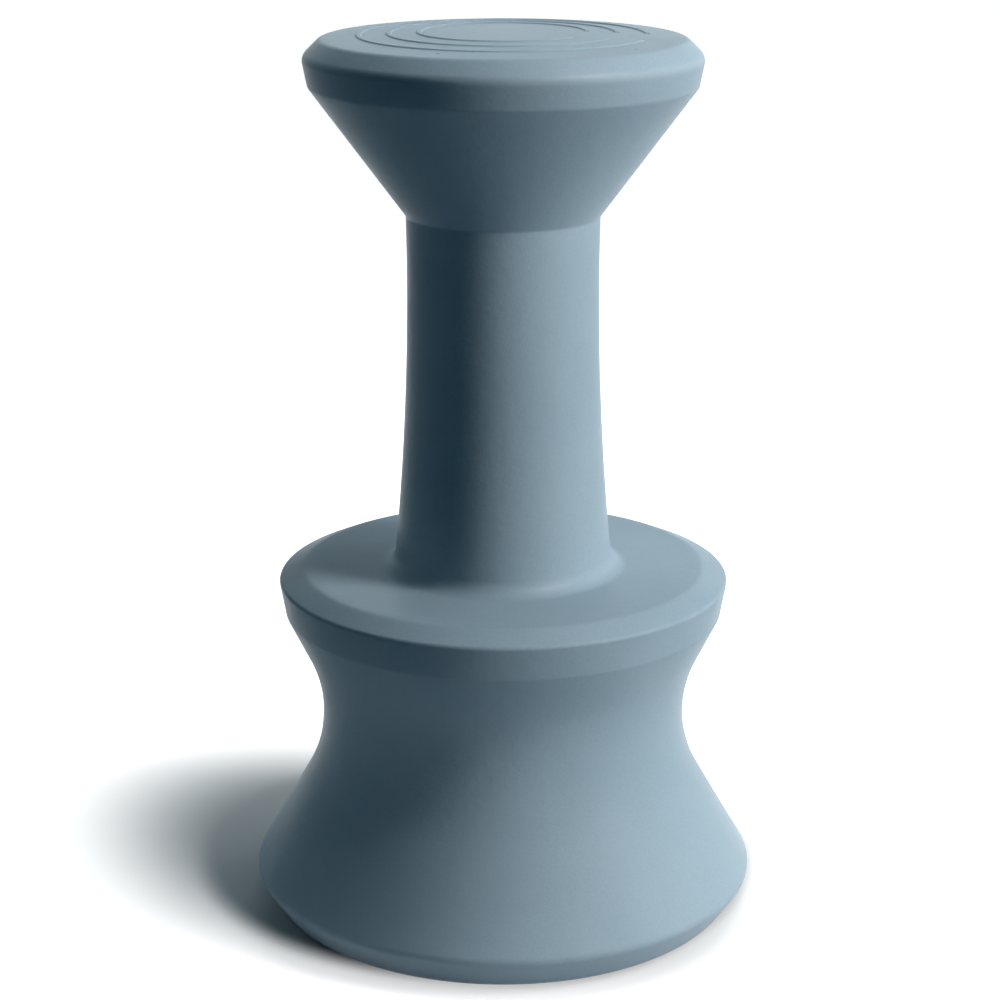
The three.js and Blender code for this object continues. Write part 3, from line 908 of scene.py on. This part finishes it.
class Finish:
    """A material's node tree, whose textures follow the coordinates of the piece that wears it."""

    def __init__(self, slot, colour, roughness, metallic=0.0, specular=0.5):
        self.slot = slot
        self.material = bpy.data.materials.new(f"{slot}_finish")
        self.material.use_nodes = True
        self.tree = self.material.node_tree
        self.shader = self.tree.nodes["Principled BSDF"]
        self.shader.inputs["Base Color"].default_value = (*colour, 1)
        self.shader.inputs["Roughness"].default_value = roughness
        self.shader.inputs["Metallic"].default_value = metallic
        self.shader.inputs["Specular IOR Level"].default_value = specular
        self.coords = self.add("ShaderNodeTexCoord").outputs["Object"]

    def add(self, kind, **inputs):
        node = self.tree.nodes.new(kind)
        for name, value in inputs.items():
            self.feed(node.inputs[name.replace("_", " ")], value)
        return node

    def feed(self, socket, value):
        if isinstance(value, bpy.types.NodeSocket):
            self.tree.links.new(value, socket)
        else:
            socket.default_value = value

    def noise(self, scale, detail=2.0, roughness=0.5, distortion=0.0):
        kinds = {"Scale": scale, "Detail": detail, "Roughness": roughness, "Distortion": distortion}
        return self.add("ShaderNodeTexNoise", Vector=self.coords, **kinds).outputs["Fac"]

    def varied(self, low, high, **noise):
        """A noise that runs evenly between two values."""
        return self.spread(self.noise(**noise), *NOISE_BAND, low, high)

    def math(self, operation, first, second=0.0):
        node = self.tree.nodes.new("ShaderNodeMath")
        node.operation = operation
        self.feed(node.inputs[0], first)
        self.feed(node.inputs[1], second)
        return node.outputs["Value"]

    def spread(self, value, low, high, to_low=0.0, to_high=1.0):
        node = self.tree.nodes.new("ShaderNodeMapRange")
        limits = {"From Min": low, "From Max": high, "To Min": to_low, "To Max": to_high}
        for name, number in limits.items():
            node.inputs[name].default_value = number
        self.tree.links.new(value, node.inputs["Value"])
        return node.outputs["Result"]

    def smooth(self, value, low, high):
        result = self.spread(value, low, high)
        result.node.interpolation_type = "SMOOTHSTEP"
        return result

    def distance_from(self, centre, reach=(1, 1), turn=0.0):
        """Distance from a place on the floor, as a share of the reach along each axis of a turned oval."""
        place = self.add("ShaderNodeMapping", Vector=self.coords, Scale=(*reach, 1), Rotation=(0, 0, turn))
        place.vector_type = "TEXTURE"
        place.inputs["Location"].default_value = centre
        length = self.add("ShaderNodeVectorMath")
        length.operation = "LENGTH"
        self.feed(length.inputs[0], place.outputs["Vector"])
        return length.outputs["Value"]

    def mix(self, share, first, second):
        node = self.tree.nodes.new("ShaderNodeMix")
        node.data_type = "RGBA"
        self.feed(node.inputs["Factor"], share)
        for socket, colour in zip(node.inputs[6:8], (first, second)):
            self.feed(socket, colour if isinstance(colour, bpy.types.NodeSocket) else (*colour, 1))
        return node.outputs[2]

    def set(self, name, value):
        self.feed(self.shader.inputs[name], value)

    def bump(self, height, distance, normal=None):
        node = self.add("ShaderNodeBump", Strength=1.0, Distance=distance, Height=height)
        if normal is not None:
            self.tree.links.new(normal, node.inputs["Normal"])
        return node.outputs["Normal"]

    def axis_distance(self):
        """Distance from the piece's upright axis, and the height."""
        split = self.add("ShaderNodeSeparateXYZ", Vector=self.coords)
        across = self.math("MULTIPLY", split.outputs["X"], split.outputs["X"])
        along = self.math("MULTIPLY", split.outputs["Y"], split.outputs["Y"])
        return self.math("SQRT", self.math("ADD", across, along)), split.outputs["Z"]

    def near(self, value, middle, reach):
        """1 where the value is at the middle, falling to 0 at a distance of reach."""
        away = self.math("ABSOLUTE", self.math("SUBTRACT", value, middle))
        return self.spread(away, 0, reach, 1, 0)

    def near_edge(self, place, edge):
        """1 on a round edge, falling to 0 away from it. A place is a radius and a height."""
        across = self.near(place[0], edge.radius, edge.across)
        return self.math("MULTIPLY", across, self.near(place[1], edge.height, edge.along))


# Colours are linear
SHELL_COLOUR = (0.310, 0.402, 0.458)
SHELL_PALE = (0.338, 0.430, 0.486)
SHELL_DEEP = (0.288, 0.380, 0.436)
# Paler colour of rubbed edges, also used for the painted highlight round the seat's rim
SHELL_WEAR_AND_HIGHLIGHT = (0.40, 0.48, 0.53)
SEAL_BLACK = (0.015, 0.015, 0.016)
SEAL_BLOOM = (0.045, 0.046, 0.048)
PAD_BLACK = (0.020, 0.021, 0.023)
PAD_BLOOM = (0.075, 0.075, 0.075)
PORT_GREY = (0.45, 0.47, 0.48)
PORT_PALE = (0.56, 0.58, 0.59)
PLUG_DARK = (0.045, 0.058, 0.070)
PLUG_PALE = (0.10, 0.12, 0.14)
STEEL = (0.60, 0.61, 0.62)
STEEL_STAIN = (0.42, 0.36, 0.30)
BRASS = (0.60, 0.42, 0.16)
BRASS_TARNISH = (0.34, 0.22, 0.09)

# Round edges of the shell that get rubbed, with the reach of the rubbing on each side, and its strength.
# The pale band all round the seat's rim is partly wear and partly a painted highlight.
Edge = namedtuple("Edge", "radius across height along")
RUBBED_EDGES = (
    Edge(LEDGE_RIM_RADIUS, 4 * MM, LEDGE_RIM_HEIGHT, 6 * MM),
    Edge(BELLY_RADIUS, 6 * MM, BELLY_HEIGHT, 9 * MM),
)
# The seat's rim: a pale band all round, partly wear and partly a painted highlight
SEAT_RIM_WEAR_AND_HIGHLIGHT_EDGE = Edge(RIM_RADIUS, 5 * MM, RIM_HEIGHT, 8 * MM)
STREAK_SHARE = 0.35
SEAT_RIM_WEAR_AND_HIGHLIGHT_SHARE = 0.5
RUBBED_GLOSS = 0.02

# How deep the fine textures go, and how strongly the second colours show
PEEL_DEPTH = 0.18 * MM
GRAIN_DEPTH = 0.12 * MM
PLASTIC_GRAIN_DEPTH = 0.05 * MM
RUBBER_GRAIN_DEPTH = 0.08 * MM
STEEL_GRAIN_DEPTH = 0.03 * MM
BRASS_GRAIN_DEPTH = 0.04 * MM
CLOUD_SHARE = 0.5
FLOW_SHARE = 0.12
SCUFF_SHARE = 0.4
STAIN_SHARE = 0.45
PLASTIC_SMOOTHER = 0.06
PLASTIC_ROUGHER = 0.08


def shell_plastic():
    """Matt blue-grey polyethylene: the mould's grain, a faint orange peel, soft clouds, rubbed edges, and a
    pale band all round the seat's rim that is partly wear and partly a painted highlight.
    """
    finish = Finish("shell_plastic", SHELL_COLOUR, roughness=0.3, specular=0.02)
    clouds = finish.spread(finish.noise(scale=9, detail=3), low=0.35, high=0.65)
    fine = finish.varied(0, 1, scale=520, detail=2)
    clouds = finish.math("MULTIPLY", clouds, CLOUD_SHARE)
    shade = finish.math("ADD", clouds, finish.math("MULTIPLY", fine, 1 - CLOUD_SHARE))
    place = finish.axis_distance()
    edges = finish.math("MAXIMUM", *(finish.near_edge(place, edge) for edge in RUBBED_EDGES))
    streaks = finish.spread(finish.noise(scale=55, detail=5, roughness=0.65), low=0.5, high=0.72)
    rubbed = finish.math("MULTIPLY", edges, streaks)
    # The pale band round the seat's rim is partly wear and partly a painted highlight
    rim = finish.math("MULTIPLY", finish.near_edge(place, SEAT_RIM_WEAR_AND_HIGHLIGHT_EDGE), SEAT_RIM_WEAR_AND_HIGHLIGHT_SHARE)
    wear_and_highlight = finish.math("MAXIMUM", finish.math("MULTIPLY", rubbed, STREAK_SHARE), rim)
    finish.set("Base Color", finish.mix(wear_and_highlight, finish.mix(shade, SHELL_DEEP, SHELL_PALE), SHELL_WEAR_AND_HIGHLIGHT))
    rough = finish.varied(0.31, 0.37, scale=28, detail=4)
    finish.set("Roughness", finish.math("SUBTRACT", rough, finish.math("MULTIPLY", rubbed, RUBBED_GLOSS)))
    peel = finish.bump(finish.noise(scale=95, detail=1), PEEL_DEPTH)
    grain = finish.noise(scale=800, detail=3, roughness=0.6)
    finish.set("Normal", finish.bump(grain, GRAIN_DEPTH, normal=peel))
    return finish


def moulded_plastic(name, colour, pale, roughness):
    """Injection-moulded plastic: fine grain, flow marks round the middle and slight scuffs."""
    finish = Finish(name, colour, roughness)
    radius, _ = finish.axis_distance()
    flow = finish.add("ShaderNodeTexWave", Scale=160.0, Distortion=1.5, Detail=2.0)
    ring = finish.add("ShaderNodeCombineXYZ", X=radius)
    finish.tree.links.new(ring.outputs["Vector"], flow.inputs["Vector"])
    scuffs = finish.noise(scale=240, detail=6, roughness=0.7, distortion=1.2)
    scuffs = finish.math("MULTIPLY", finish.spread(scuffs, low=0.58, high=0.75), SCUFF_SHARE)
    colours = finish.mix(finish.math("MULTIPLY", flow.outputs["Fac"], FLOW_SHARE), colour, pale)
    finish.set("Base Color", finish.mix(scuffs, colours, pale))
    low, high = roughness - PLASTIC_SMOOTHER, roughness + PLASTIC_ROUGHER
    finish.set("Roughness", finish.varied(low, high, scale=160, detail=3))
    finish.set("Normal", finish.bump(finish.noise(scale=2200, detail=2), PLASTIC_GRAIN_DEPTH))
    return finish


def rubber(name, colour, pale, bloom_share):
    """Matt rubber with a faint bloom and a fine grain."""
    finish = Finish(name, colour, roughness=0.85, specular=0.35)
    bloom = finish.spread(finish.noise(scale=130, detail=4, roughness=0.6), low=0.42, high=0.7)
    finish.set("Base Color", finish.mix(finish.math("MULTIPLY", bloom, bloom_share), colour, pale))
    finish.set("Roughness", finish.varied(0.74, 0.92, scale=300, detail=2))
    finish.set("Normal", finish.bump(finish.noise(scale=1800, detail=4, roughness=0.7), RUBBER_GRAIN_DEPTH))
    return finish


def stainless():
    """Stainless steel with a fine grain and a little tea staining."""
    finish = Finish("stainless", STEEL, roughness=0.28, metallic=1.0)
    stain = finish.spread(finish.noise(scale=420, detail=5, roughness=0.7), low=0.6, high=0.78)
    finish.set("Base Color", finish.mix(finish.math("MULTIPLY", stain, STAIN_SHARE), STEEL, STEEL_STAIN))
    finish.set("Roughness", finish.varied(0.2, 0.36, scale=900, detail=3))
    finish.set("Normal", finish.bump(finish.noise(scale=5200, detail=1), STEEL_GRAIN_DEPTH))
    return finish


def brass():
    """Machined brass with darker tarnish in patches."""
    finish = Finish("brass", BRASS, roughness=0.32, metallic=1.0)
    tarnish = finish.spread(finish.noise(scale=260, detail=5, roughness=0.65), low=0.45, high=0.7)
    finish.set("Base Color", finish.mix(tarnish, BRASS, BRASS_TARNISH))
    finish.set("Roughness", finish.spread(tarnish, low=0, high=1, to_low=0.24, to_high=0.5))
    finish.set("Normal", finish.bump(finish.noise(scale=3600, detail=2), BRASS_GRAIN_DEPTH))
    return finish


# Studio: a pale floor that runs white into the backdrop, and soft boxes on the photograph's sides. Metres.
# The floor has one colour for the eye and others for the light that it throws back on the stool. Its shadow
# is kept inside an oval, and close round the foot.
FLOOR_SIZE = 60
FLOOR_SEEN = (0.61, 0.587, 0.57)
FLOOR_NEAR_BOUNCE = (0.75, 0.77, 0.8)
FLOOR_FAR_BOUNCE = (0.045, 0.11, 0.15)
BOUNCE_START = 0.27
BOUNCE_END = 0.62
SHADOW_CENTRE = (-0.078, 0.064, 0)
SHADOW_TURN = math.radians(-37)
SHADOW_REACH = (0.444, 0.291)
SHADOW_CORE_SHARE = 0.435
CONTACT_CENTRE = (-0.022, 0.078, 0)
CONTACT_START = 0.234
CONTACT_END = 0.268
WORLD_FILL = (0.016, 0.044, 0.066)
SKY_TINT = (0.92, 0.98, 1.0)
SHADE_TINT = (0.75, 0.95, 1.0)
UNDER_LIGHT_START = 0.175
UNDER_LIGHT_END = 0.19

# Places of the soft boxes: degrees from the camera's side, positive to the right, then distance and height
WHITE = (1, 1, 1)
KEY_PLACE = (70, 2.8, 1.5)
GLEAM_PLACE = (55, 1.8, 2.3)
BACK_PLACE = (186, 2.8, 1.3)
LEFT_PLACE = (-118, 2.8, 1.2)
TOP_POINT = (0.8, 0.3, 3.4)
UNDER_POINT = (0, 0, -1.6)
STOOL_FOOT = (0, 0, 0)
STOOL_MIDDLE = (0, 0, SEAT_HEIGHT / 2)
STOOL_TOP = (0, 0, SEAT_HEIGHT)


def white_to_the_eye(tree):
    """1 for camera, glossy and transmission rays, and 0 for the rays that carry light between surfaces."""
    path = tree.nodes.new("ShaderNodeLightPath")
    total = path.outputs["Is Camera Ray"]
    for kind in ("Is Glossy Ray", "Is Transmission Ray"):
        larger = tree.nodes.new("ShaderNodeMath")
        larger.operation = "MAXIMUM"
        tree.links.new(total, larger.inputs[0])
        tree.links.new(path.outputs[kind], larger.inputs[1])
        total = larger.outputs["Value"]
    return total


def floor_finish():
    """Pale floor: white far from the stool, and clear from below. Inside the ring of feet it also lets the
    light from below through, so that the underside can be seen."""
    finish = Finish("studio_floor", WHITE, roughness=1.0)
    tree = finish.tree
    output = tree.nodes["Material Output"]
    tree.nodes.remove(finish.shader)
    seen = white_to_the_eye(tree)
    oval = finish.distance_from(SHADOW_CENTRE, SHADOW_REACH, SHADOW_TURN)
    off_shadow = finish.smooth(oval, SHADOW_CORE_SHARE, 1)
    off_contact = finish.smooth(finish.distance_from(CONTACT_CENTRE), CONTACT_START, CONTACT_END)
    far = finish.math("MULTIPLY", off_shadow, off_contact)
    near = finish.smooth(finish.distance_from(STOOL_FOOT), BOUNCE_END, BOUNCE_START)
    bounce = finish.mix(finish.math("MULTIPLY", near, off_shadow), FLOOR_FAR_BOUNCE, FLOOR_NEAR_BOUNCE)
    diffuse = finish.add("ShaderNodeBsdfDiffuse", Color=finish.mix(seen, bounce, FLOOR_SEEN))
    glow = finish.add("ShaderNodeEmission", Strength=finish.math("MULTIPLY", far, seen))
    lit = finish.add("ShaderNodeAddShader")
    tree.links.new(diffuse.outputs["BSDF"], lit.inputs[0])
    tree.links.new(glow.outputs["Emission"], lit.inputs[1])
    clear = finish.add("ShaderNodeBsdfTransparent")
    side = finish.add("ShaderNodeMixShader")
    geometry = finish.add("ShaderNodeNewGeometry")
    under = finish.smooth(finish.distance_from(STOOL_FOOT), UNDER_LIGHT_END, UNDER_LIGHT_START)
    shadow = finish.math("MULTIPLY", finish.add("ShaderNodeLightPath").outputs["Is Shadow Ray"], under)
    tree.links.new(finish.math("MAXIMUM", geometry.outputs["Backfacing"], shadow), side.inputs["Fac"])
    tree.links.new(lit.outputs["Shader"], side.inputs[1])
    tree.links.new(clear.outputs["BSDF"], side.inputs[2])
    tree.links.new(side.outputs["Shader"], output.inputs["Surface"])
    return finish


def studio_floor():
    half = FLOOR_SIZE / 2
    corners = [(-half, -half, 0), (half, -half, 0), (half, half, 0), (-half, half, 0)]
    floor = mesh_object("studio_floor", corners, [(0, 1, 2, 3)])
    floor.data.materials.append(floor_finish().material)


def studio_world():
    world = bpy.data.worlds.new("studio")
    world.use_nodes = True
    tree = world.node_tree
    dim = tree.nodes["Background"]
    dim.inputs["Color"].default_value = (*WORLD_FILL, 1)
    white = tree.nodes.new("ShaderNodeBackground")
    mixed = tree.nodes.new("ShaderNodeMixShader")
    tree.links.new(white_to_the_eye(tree), mixed.inputs["Fac"])
    tree.links.new(dim.outputs["Background"], mixed.inputs[1])
    tree.links.new(white.outputs["Background"], mixed.inputs[2])
    tree.links.new(mixed.outputs["Shader"], tree.nodes["World Output"].inputs["Surface"])
    white.inputs["Color"].default_value = (*WHITE, 1)
    bpy.context.scene.world = world


def soft_light(name, place, aim, size, level, tint=WHITE):
    """A rectangular soft box. At level 1 it lights a white surface that faces it to about white."""
    data = bpy.data.lights.new(name, "AREA")
    data.shape = "RECTANGLE"
    data.size, data.size_y = size
    data.color = tint
    away = Vector(aim) - Vector(place)
    data.energy = level * math.pi**2 * away.length_squared
    light = bpy.data.objects.new(name, data)
    light.location = place
    light.rotation_euler = away.to_track_quat("-Z", "Y").to_euler()
    bpy.context.scene.collection.objects.link(light)
    return light


def round_the_stool(azimuth, distance, height):
    """A place at an angle from the camera's side of the stool, positive to the right."""
    angle = math.radians(azimuth)
    return (distance * math.sin(angle), -distance * math.cos(angle), height)


def studio_lights():
    """Gleam only shows as gloss; back and left only fill the shade and show no gloss."""
    aim = STOOL_MIDDLE
    soft_light("key", round_the_stool(*KEY_PLACE), aim, size=(0.9, 3.0), level=1.15)
    gleam = soft_light("gleam", round_the_stool(*GLEAM_PLACE), aim, size=(0.9, 0.45), level=4)
    gleam.visible_diffuse = False
    gleam.visible_camera = False
    soft_light("top", TOP_POINT, STOOL_TOP, size=(1.5, 1.5), level=0.45, tint=SKY_TINT)
    back = soft_light("back", round_the_stool(*BACK_PLACE), aim, (1.8, 1.8), level=0.28, tint=SHADE_TINT)
    left = soft_light("left", round_the_stool(*LEFT_PLACE), aim, (1.8, 2.4), level=0.08, tint=SHADE_TINT)
    for light in (back, left):
        light.visible_glossy = False
    soft_light("under", UNDER_POINT, STOOL_FOOT, size=(0.8, 0.8), level=0.4)


def photo_camera():
    data = bpy.data.cameras.new("photo_camera")
    data.sensor_width = CAMERA_SENSOR
    data.lens = CAMERA_FOCAL_PIXELS * CAMERA_SENSOR / FRAME_PIXELS
    camera = bpy.data.objects.new("photo_camera", data)
    camera.location = (CAMERA_SIDE, -CAMERA_DISTANCE, CAMERA_HEIGHT)
    camera.rotation_euler = (math.pi / 2 - CAMERA_PITCH, 0, 0)
    bpy.context.scene.collection.objects.link(camera)
    bpy.context.scene.camera = camera


# The stool
def dress_ports(ports):
    seal = rubber("seal_rubber", SEAL_BLACK, SEAL_BLOOM, bloom_share=0.4)
    port_look = moulded_plastic("port_plastic", PORT_GREY, PORT_PALE, roughness=0.45)
    plug_look = moulded_plastic("plug_plastic", PLUG_DARK, PLUG_PALE, roughness=0.42)
    for port, plug in zip(ports, (fill_plug(ports[0]), vent_plug(ports[1]))):
        pieces = (
            (port_insert(port), "port_insert", port_look, "shell"),
            (port_gasket(port), "plug_gasket", seal, f"{port.name}_gasket"),
            (plug, "plug", plug_look, f"{port.name}_plug"),
        )
        for made, kind, look, body in pieces:
            made.name = f"{port.name}_{kind}_dressed"
            finished(port.place(made), look, body, f"{port.name}_{kind}")


def dress_feet():
    pad_look = rubber("pad_rubber", PAD_BLACK, PAD_BLOOM, bloom_share=0.55)
    kinds = (
        ("foot_pad", foot_pad(), pad_look),
        ("foot_screw", foot_screw(), stainless()),
        ("foot_insert", foot_insert(), brass()),
    )
    for kind, pattern, look in kinds:
        for i, angle in enumerate(FOOT_ANGLES):
            copy = bpy.data.objects.new(f"{kind}_dressed_{i + 1}", pattern.data.copy())
            bpy.context.scene.collection.objects.link(copy)
            finished(at_foot(angle, copy), look, "shell", f"{kind}_{i + 1}")
        bpy.data.objects.remove(pattern)


def dress_shell(ports):
    made = stool_shell(ports)
    made.name = "moulded_shell"
    finished(made, shell_plastic(), "shell", "stool_shell")


PORTS = (
    Port("fill", 0, FILL_THREAD_RADIUS, FILL_THREAD_DEPTH, FILL_THREAD_PITCH, FILL_SEGMENTS),
    Port("vent", VENT_OFFSET, VENT_THREAD_RADIUS, VENT_THREAD_DEPTH, VENT_THREAD_PITCH, VENT_SEGMENTS),
)

photo_camera()
studio_world()
studio_floor()
studio_lights()
dress_shell(PORTS)
dress_ports(PORTS)
dress_feet()
bpy.context.scene.view_settings.view_transform = "Standard"
